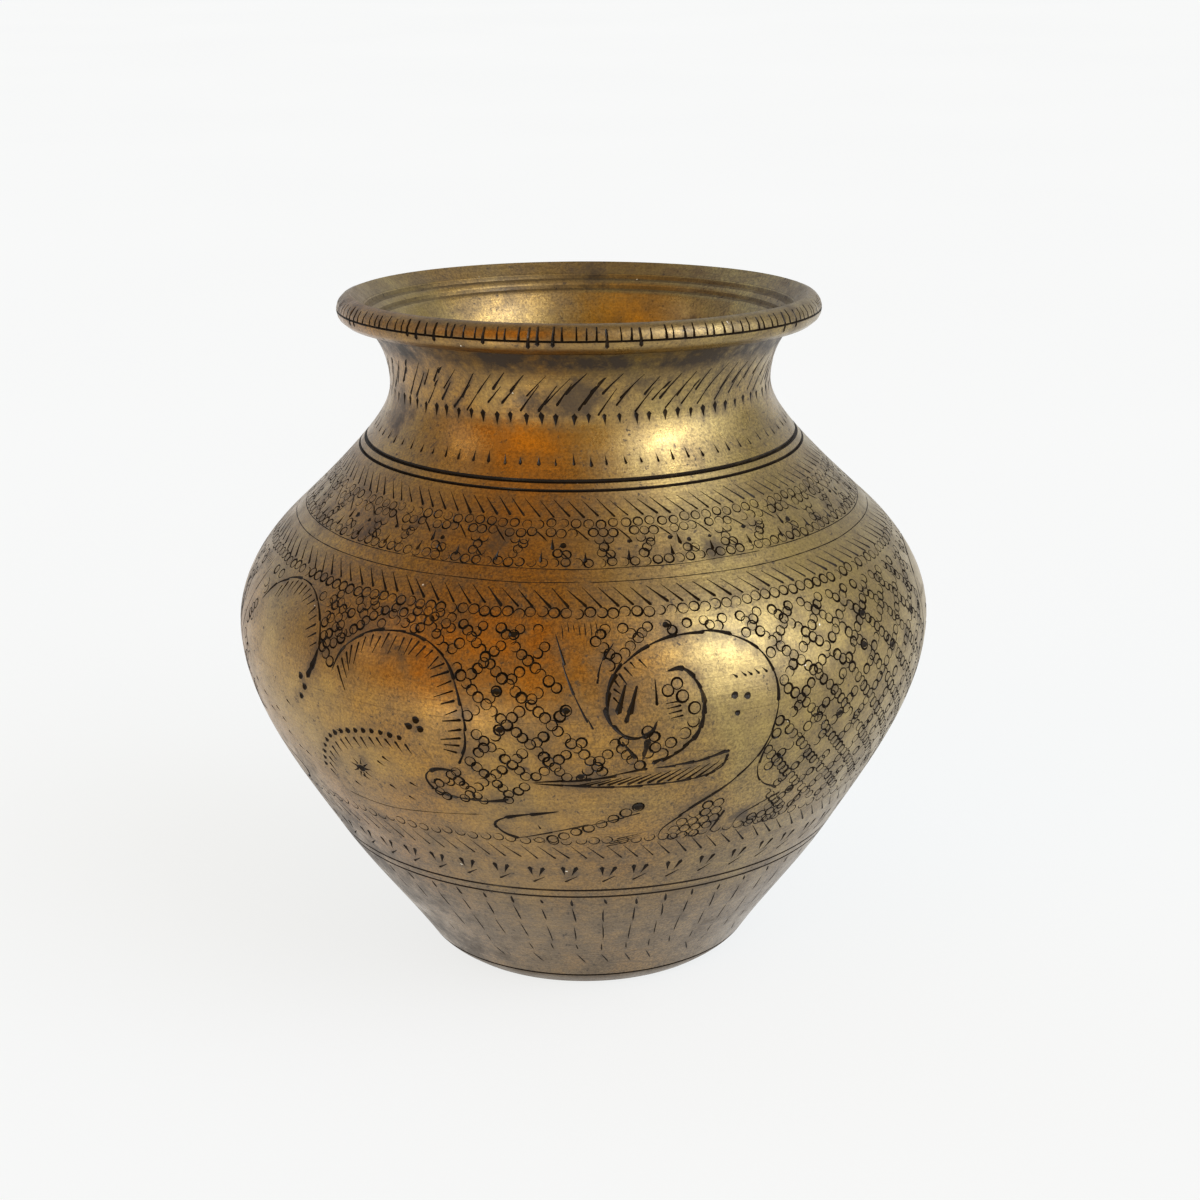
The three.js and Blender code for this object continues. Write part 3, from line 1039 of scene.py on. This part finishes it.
def engraved_shoulder(sheet, material):
    body = Body()
    parted(sheet, 0.0, 1)
    low, high = body.add_sheet(sheet, 0.0, v_of(COLLAR))
    body.turn_on(high, tongue_and_inside(COLLAR - SEAM_GAP, BELLY + SEAM_GAP), 0.5, low)
    return body.object("engraved_shoulder", "shoulder_shell", material)


def engraved_neck(material):
    low_v, high_v = v_of(COLLAR), v_of(LIP)
    sheet = Sheet(BODY, low_v, high_v, neck_band(), [(low_v, *NECK_GROOVE)])
    parted(sheet, low_v, 2)
    # Painted shade: the neck darkens towards the bead, under its overhang.
    under_bead_shade = UNDER_BEAD_SHADE * np.clip((sheet.flat[:, 1] - v_of(UNDER_BEAD_SHADE_FROM)) / 6, 0, 1)
    sheet.grime_and_shade = np.maximum(sheet.grime_and_shade, under_bead_shade)
    body = Body()
    low, high = body.add_sheet(sheet, low_v, high_v)
    section = [tuple(wall_point(LIP, WALL))]
    for z in (LIP - 0.6, LIP - 2.1):
        for drop, depth, cut in ((0.42, WALL, 0), (0, WALL - 0.22, 0.45), (-0.42, WALL, 0.45)):
            section.append((*wall_point(z + drop, depth), cut))
    section += wall_line(LIP - 3, COLLAR + LAP + SEAM_GAP, WALL)
    section += wall_line(COLLAR + LAP + SEAM_GAP, COLLAR + SEAM_GAP, SKIN_DEPTH)
    body.turn_on(high, section, 0.35, low)
    return body.object("engraved_neck", "neck_collar", material)


def lip_frame():
    """The lip's outer end, and the directions along the wall and out from it, as (radius, height)."""
    _, slope = outer_face(np.array([LIP]))
    along = np.array([slope[0], 1]) / math.hypot(slope[0], 1)
    return np.array(wall_point(LIP, 0)), along, np.array([along[1], -along[0]])


def bead_section():
    """The bead's round outside, from its foot on the neck over its crown to its inner edge."""
    end, along, out = lip_frame()
    centre = end + BEAD_OVERHANG * along - BEAD_INSET * out
    foot = -math.acos((BRAZE_GAP + BEAD_INSET) / BEAD_RADIUS)
    crown = math.pi - math.acos((WALL - BEAD_INSET) / BEAD_RADIUS)
    turns = np.linspace(foot, crown, BEAD_STEPS)
    swing = BEAD_RADIUS * (np.cos(turns)[:, None] * out + np.sin(turns)[:, None] * along)
    section = centre + swing
    return section, int(np.argmax(section[:, 0]))


BEAD, CREASE_POINT = bead_section()
RIM = Outline(BEAD[:, 0], BEAD[:, 1], CREASE_POINT)
RIM_CREASE = 0.0
RIM_TICK_TOP = 3.3


def beaded_rim(material):
    end, along, out = lip_frame()
    sheet = Sheet(RIM, RIM.v[0], RIM.v[-1], rim_band(), [(RIM_CREASE, *CREASE_GROOVE)])
    body = Body()
    low, high = body.add_sheet(sheet, RIM.v[0], RIM.v[-1])
    seat = [(2.0, -WALL), (SEAM_GAP, -WALL), (SEAM_GAP, -1), (SEAM_GAP, BRAZE_GAP)]
    seat += [(-0.5, BRAZE_GAP + 0.01), (-1, BRAZE_GAP + 0.02)]
    section = [tuple(end + run * along + lift * out) for run, lift in seat]
    body.turn_on(high, section, 0.3, low)
    return body.object("beaded_rim", "rim_ring", material)


def turned_foot(material):
    low_v, high_v = v_of(0), v_of(BASE_SEAM)
    sheet = Sheet(BODY, low_v, high_v, (), [(high_v, *BASE_GROOVE)])
    parted(sheet, high_v, -1)
    sheet.grime_and_shade += 0.5
    body = Body()
    low, high = body.add_sheet(sheet, low_v, high_v)
    floor = RECESS_DEPTH + FLOOR_THICKNESS
    section = [tuple(wall_point(BASE_SEAM - SEAM_GAP, TONGUE_DEPTH))]
    section += wall_line(BASE_SEAM, BASE_SEAM + LAP, TONGUE_DEPTH)[1:]
    section += wall_line(BASE_SEAM + LAP, floor, WALL)
    section += [(radius, floor) for radius in np.linspace(section[-1][0], 2, 10)[1:]]
    centre = body.turn_on(high, section, 0.7)
    body.pole(centre, floor, 0.7, True)
    inner_edge = FOOT_RADIUS - FOOT_RING_WIDTH
    recess = [(2, RECESS_DEPTH)]
    for radius in (5, 9, 14, 18):
        recess.append((radius - 0.3, RECESS_DEPTH))
        recess += [(radius, RECESS_DEPTH + 0.15, 1), (radius + 0.3, RECESS_DEPTH, 1)]
    recess += [(inner_edge - 0.9, RECESS_DEPTH), (inner_edge, 0), (inner_edge + 1.6, 0)]
    start = body.add_ring(*recess[0], 0.6)
    body.pole(start, RECESS_DEPTH, 0.6, False)
    body.turn_on(start, recess[1:], 0.6, low)
    return body.object("turned_foot", "base_plate", material)


# Materials


class Graph:
    """The node tree of a material or the world, with short calls for the nodes used here."""

    def __init__(self, owner, coordinates="Object"):
        owner.use_nodes = True
        self.tree = owner.node_tree
        self.tree.nodes.clear()
        self.place = self.add("TexCoord").outputs[coordinates]

    def add(self, kind, inputs=(), **values):
        node = self.tree.nodes.new("ShaderNode" + kind)
        for key, value in values.items():
            setattr(node, key, value)
        for key, value in dict(inputs).items():
            if isinstance(value, bpy.types.NodeSocket):
                self.tree.links.new(value, node.inputs[key])
            else:
                node.inputs[key].default_value = value
        return node

    def noise(self, scale, detail=3.0, roughness=0.5, stretch=(1, 1, 1), shift=(0, 0, 0)):
        """Noise from 0 to 1; the scale counts features to the metre."""
        moved = self.add("Mapping", {"Vector": self.place, "Scale": stretch, "Location": shift})
        inputs = {"Vector": moved.outputs[0], "Scale": scale, "Detail": detail, "Roughness": roughness}
        return self.add("TexNoise", inputs).outputs["Fac"]

    def contour(self, scale, stretch, width):
        """Thin wandering lines, from 0 to 1: where a stretched noise passes through its middle value."""
        off = self.math("ABSOLUTE", self.math("SUBTRACT", self.noise(scale, 1, 0.5, stretch), 0.5))
        return self.map(off, 0.0, width, 1.0, 0.0)

    def map(self, value, low, high, to_low=0.0, to_high=1.0):
        inputs = {"Value": value, "From Min": low, "From Max": high, "To Min": to_low, "To Max": to_high}
        return self.add("MapRange", inputs).outputs["Result"]

    def math(self, operation, a, b=0.0, clamp=False):
        return self.add("Math", {0: a, 1: b}, operation=operation, use_clamp=clamp).outputs[0]

    def times(self, a, b):
        return self.math("MULTIPLY", a, b)

    def plus(self, a, b, clamp=False):
        return self.math("ADD", a, b, clamp)

    def most(self, a, b):
        return self.math("MAXIMUM", a, b)

    def mix(self, share, a, b):
        return self.add("Mix", {"Factor": share, 6: a, 7: b}, data_type="RGBA").outputs[2]

    def attribute(self, name):
        return self.add("Attribute", attribute_name=name).outputs["Fac"]


# Warm tone of the brass, also used to paint the warm reflection on the front left.
WARM_BRASS_AND_REFLECTION = (0.5, 0.235, 0.036, 1)
YELLOW_BRASS = (0.464, 0.338, 0.12, 1)
DULL_BRASS = (0.235, 0.165, 0.09, 1)
# Soot, also the colour of the painted shade under the bead and the painted dark reflection low on the left.
SOOT_AND_SHADE = (0.05, 0.036, 0.024, 1)
CUT_FILL = (0.024, 0.016, 0.009, 1)
FLECK = (0.85, 0.8, 0.68, 1)
FLOOR_TONES = ((0.19, 0.2, 0.207, 1), (0.202, 0.212, 0.22, 1))

# Stains: direction round the pot in degrees, height, reach, strength. Two blots low on the left are painted dark
# reflection, not stains.
STAINS_AND_DARK_REFLECTIONS = (
    (-90, 105.5, 6.5, 1.0),
    (86, 112, 4.5, 1.0),
    (-165, 116, 7, 0.7),
    (-60, 116, 3, 0.7),
    (-103, 104, 5, 0.7),
    (-72, 106.5, 4, 0.6),
    (-155, 100, 7, 0.9),
    (-64, 82.5, 3.4, 1.0),
    (-107, 85, 5, 0.75),
    (-128, 86, 3.5, 0.6),
    (-138, 83, 4, 0.7),
    (-28, 84, 4, 0.6),
    (-128, 48.5, 2.6, 0.7),
    (-63, 40, 2.6, 0.9),
    (-120, 72, 12, 0.4),
    # Painted dark reflection: these two darken the lower cone on the left, standing in for dark surroundings
    # mirrored there.
    (-160, 24, 30, 0.85),
    (-140, 8, 20, 0.6),
    (-58, 12, 5, 0.4),
    (20, 78, 8, 0.6),
    (48, 103, 6, 0.8),
    (75, 60, 9, 0.5),
    (118, 84, 5, 0.8),
    (150, 45, 11, 0.5),
    (165, 104, 6, 0.7),
    (95, 20, 14, 0.5),
)


def stain_and_reflection_share(g, rough_edge):
    """How blotted the surface is, from 0 to 1: soft blots with ragged edges, mostly stains, and two of painted
    dark reflection low on the left.
    """
    total = 0.0
    for degrees, height, reach, strength in STAINS_AND_DARK_REFLECTIONS:
        radius = float(outer_face(np.array([height]))[0][0])
        turn = math.radians(degrees)
        centre = [x * MM for x in (radius * math.cos(turn), radius * math.sin(turn), height)]
        away = g.add("VectorMath", {0: g.place, 1: centre}, operation="DISTANCE").outputs["Value"]
        blot = g.map(away, reach * MM * 1.25, 0, 0, strength)
        total = g.most(blot, total)
    return g.map(g.plus(total, g.map(rough_edge, 0.3, 0.7, -0.35, 0.35)), 0.25, 0.75)


def brass(name, dull=0.0, grime_and_shade_share=1.0, roughness=0.3):
    """Aged brass: uneven in colour, grained and scratched, sooty where it is cut, dark inside the cuts, with
    painted warm reflection on the front left, painted dark reflection low on the left and painted shade under
    the bead.
    """
    material = bpy.data.materials.new(name)
    g = Graph(material)
    axes = g.add("SeparateXYZ", {0: g.place}).outputs
    cut, grime_and_shade = g.attribute("cut"), g.attribute("grime_and_shade")
    broad = g.noise(24, 3, 0.55)
    mottled = g.noise(190, 8, 0.72, shift=(0.3, 0.1, 0.7))
    grain = g.noise(2300, 3, 0.75, shift=(0.9, 0.2, 0.4))
    pits = g.noise(1300, 2, 0.6, shift=(0.4, 0.8, 0.2))
    brushed = g.noise(110, 4, 0.75, stretch=(0.6, 0.6, 26))
    scratched = g.most(g.contour(75, (0.35, 0.35, 2.2), 0.01), g.contour(120, (1.6, 1.2, 0.3), 0.008))
    scratched = g.times(scratched, g.map(broad, 0.4, 0.6, 0.15, 0.6))

    # Painted reflection: the colour turns warmer on the front left, standing in for the warm room mirrored
    # there; the broad noise adds a real uneven tone.
    side = g.map(axes["X"], -0.004, 0.024, 0.72, -0.1)
    side = g.times(side, g.map(axes["Y"], -0.01, 0.02, 1.0, 0.3))
    warm_tone_and_reflection = g.plus(side, g.map(broad, 0.35, 0.65, -0.38, 0.38), clamp=True)
    colour = g.mix(warm_tone_and_reflection, YELLOW_BRASS, WARM_BRASS_AND_REFLECTION)
    # Darker and duller towards the bottom, set by height alone.
    low_down = g.map(axes["Z"], 0.05, 0.018, 0.0, 0.75)
    dullness = g.plus(low_down, g.map(mottled, 0.42, 0.66, dull, dull + 0.52), clamp=True)
    colour = g.mix(dullness, colour, DULL_BRASS)
    colour = g.mix(g.map(brushed, 0.35, 0.7, 0.0, 0.2), colour, SOOT_AND_SHADE)
    patchy_grain = g.times(g.map(grain, 0.4, 0.64), g.map(broad, 0.35, 0.65, 0.35, 0.72))
    colour = g.mix(g.most(patchy_grain, scratched), colour, SOOT_AND_SHADE)

    # The grime attribute also holds the painted shade under the bead; the blots include painted dark reflection
    # low on the left.
    soot = g.times(grime_and_shade, g.map(mottled, 0.34, 0.6, 0.1 * grime_and_shade_share, 0.7 * grime_and_shade_share))
    stains_and_reflections = g.times(stain_and_reflection_share(g, mottled), 0.8)
    pitted = g.times(g.map(pits, 0.61, 0.68, 0.0, 0.85), g.map(mottled, 0.42, 0.56))
    dirt_and_shade = g.most(g.most(soot, stains_and_reflections), pitted)
    colour = g.mix(dirt_and_shade, colour, SOOT_AND_SHADE)
    colour = g.mix(g.times(cut, g.map(mottled, 0.25, 0.45, 0.72, 1.0)), colour, CUT_FILL)
    flecks = g.map(g.noise(800, 1, 0.5, shift=(0.5, 0.6, 0.1)), 0.825, 0.835)
    colour = g.mix(flecks, colour, FLECK)

    worn = g.map(mottled, 0.3, 0.7, roughness - 0.06, roughness + 0.14)
    rough = g.plus(worn, g.times(dirt_and_shade, 0.25))
    rough = g.plus(rough, g.times(cut, 0.4), clamp=True)
    bare_dirt_and_shade = g.times(dirt_and_shade, g.math("SUBTRACT", 1.0, cut))
    metal = g.math("SUBTRACT", 1.0, g.times(bare_dirt_and_shade, 0.5), clamp=True)
    height = g.plus(g.times(brushed, 0.4), g.times(mottled, 0.7))
    height = g.plus(height, g.times(grain, 0.25))
    bump = g.add("Bump", {"Height": height, "Strength": 0.5, "Distance": 0.00022})
    inputs = {"Base Color": colour, "Metallic": metal, "Roughness": rough, "Normal": bump.outputs[0]}
    inputs.update({"Coat Weight": 0.18, "Coat Roughness": 0.22, "Coat IOR": 1.5})
    shader = g.add("BsdfPrincipled", inputs)
    g.add("OutputMaterial", {"Surface": shader.outputs[0]})
    return material


def floor_material():
    """Plain pale floor."""
    material = bpy.data.materials.new("pale_floor")
    g = Graph(material)
    tone = g.mix(g.map(g.noise(3, 2), 0.3, 0.7), *FLOOR_TONES)
    inputs = {"Base Color": tone, "Roughness": 1.0, "Specular IOR Level": 0.0}
    inputs.update({"Emission Color": (0.985, 1, 1, 1), "Emission Strength": 0.79})
    shader = g.add("BsdfPrincipled", inputs)
    g.add("OutputMaterial", {"Surface": shader.outputs[0]})
    return material


# Floor, light and camera


FLOOR_HALF = 12.0
CAMERA_PLACE = (0, -0.3845, 0.1828)
CAMERA_TURN = (0.3062, -0.0075, -0.0128)  # pitch, yaw, roll
FOCAL_LENGTH = 68.48


def make_floor():
    mesh = bpy.data.meshes.new("floor")
    corners = [(x * FLOOR_HALF, y * FLOOR_HALF, 0) for x, y in ((-1, -1), (1, -1), (1, 1), (-1, 1))]
    mesh.from_pydata(corners, [], [(0, 1, 2, 3)])
    mesh.materials.append(floor_material())
    floor = bpy.data.objects.new("floor", mesh)
    bpy.context.scene.collection.objects.link(floor)
    floor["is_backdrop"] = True


def softbox(name, place, size, power, colour=(1, 1, 1), target=(0, 0, 0.07)):
    data = bpy.data.lights.new(name, "AREA")
    data.shape = "RECTANGLE"
    data.size, data.size_y = size
    data.energy = power
    data.color = colour
    lamp = bpy.data.objects.new(name, data)
    lamp.location = place
    lamp.visible_diffuse = False
    lamp.rotation_euler = (Vector(target) - Vector(place)).to_track_quat("-Z", "Y").to_euler()
    bpy.context.scene.collection.objects.link(lamp)
    return lamp


# What stands round the pot, by direction from the viewer's side (0) round to the right, in degrees
ROOM = (
    (-180, (0.50, 0.50, 0.50)),
    (-125, (0.68, 0.78, 0.90)),
    (-94, (0.40, 0.34, 0.28)),
    (-70, (0.40, 0.20, 0.04)),
    (-38, (1.20, 0.58, 0.08)),
    (-8, (0.55, 0.34, 0.10)),
    (18, (0.60, 0.48, 0.28)),
    (41, (2.45, 2.5, 2.75)),
    (72, (2.8, 2.95, 3.4)),
    (91, (1.35, 1.38, 1.4)),
    (112, (0.46, 0.44, 0.38)),
    (140, (0.74, 0.76, 0.78)),
    (180, (0.50, 0.50, 0.50)),
)
ROOM_BRIGHTEST = 3.5
CEILING = (0.42, 0.36, 0.28, 1)
BACKDROP = (0.913, 0.913, 0.913, 1)


def make_world():
    """A soft room round the pot: a tall window on the right, dim warm wood on the left, pale elsewhere."""
    world = bpy.data.worlds.new("studio")
    g = Graph(world, "Generated")
    axes = g.add("SeparateXYZ", {0: g.place}).outputs
    turn = g.math("ARCTAN2", axes["X"], g.times(axes["Y"], -1))
    ramp = g.add("ValToRGB", {"Fac": g.map(turn, -math.pi, math.pi)})
    ramp.color_ramp.interpolation = "EASE"
    stops = ramp.color_ramp.elements
    while len(stops) < len(ROOM):
        stops.new(0.5)
    for stop, (angle, colour) in zip(stops, ROOM):
        stop.position = angle / 360 + 0.5
        stop.color = (*(c / ROOM_BRIGHTEST for c in colour), 1)
    room = g.add("Background", {"Color": ramp.outputs[0], "Strength": ROOM_BRIGHTEST}).outputs[0]
    overhead = g.add("Background", {"Color": CEILING}).outputs[0]
    shown = g.add("Background", {"Color": BACKDROP}).outputs[0]
    lit = g.add("MixShader", {0: g.map(axes["Z"], 0.75, 0.98), 1: room, 2: overhead}).outputs[0]
    seen = g.add("MixShader", {0: g.add("LightPath").outputs["Is Camera Ray"], 1: lit, 2: shown})
    g.add("OutputWorld", {"Surface": seen.outputs[0]})
    bpy.context.scene.world = world


def make_light():
    make_world()
    softbox("window_right", (1.05, -0.75, 1.0), (0.35, 0.5), 5, (0.86, 0.94, 1))
    softbox("window_left", (-1.2, -0.3, 0.7), (0.3, 0.8), 1)
    softbox("glint_low", (-0.111, -0.167, 0.02), (0.02, 0.02), 0.02, (1, 0.9, 0.7), (-0.019, -0.057, 0.063))


def make_camera():
    data = bpy.data.cameras.new("camera")
    data.sensor_width = 36
    data.lens = FOCAL_LENGTH
    data.clip_start = 0.01
    camera = bpy.data.objects.new("camera", data)
    pitch, yaw, roll = CAMERA_TURN
    camera.location = CAMERA_PLACE
    turn = Matrix.Rotation(yaw, 4, "Z") @ Matrix.Rotation(math.pi / 2 - pitch, 4, "X")
    camera.rotation_euler = (turn @ Matrix.Rotation(roll, 4, "Z")).to_euler()
    bpy.context.scene.collection.objects.link(camera)
    bpy.context.scene.camera = camera


body = body_sheet()
body_brass = brass("body_brass")
engraved_bowl(body, body_brass)
engraved_shoulder(body, body_brass)
engraved_neck(brass("neck_brass", 0.0, 1.0, 0.27))
beaded_rim(brass("rim_brass", 0.2, 1.5, 0.28))
turned_foot(brass("base_brass", 0.5, 1.2, 0.4))

make_floor()
make_light()
make_camera()
bpy.context.scene.view_settings.view_transform = "Standard"

boxes = {name: [list(corner) for corner in box] for name, box in (("cad", cad_box), ("visual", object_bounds()))}
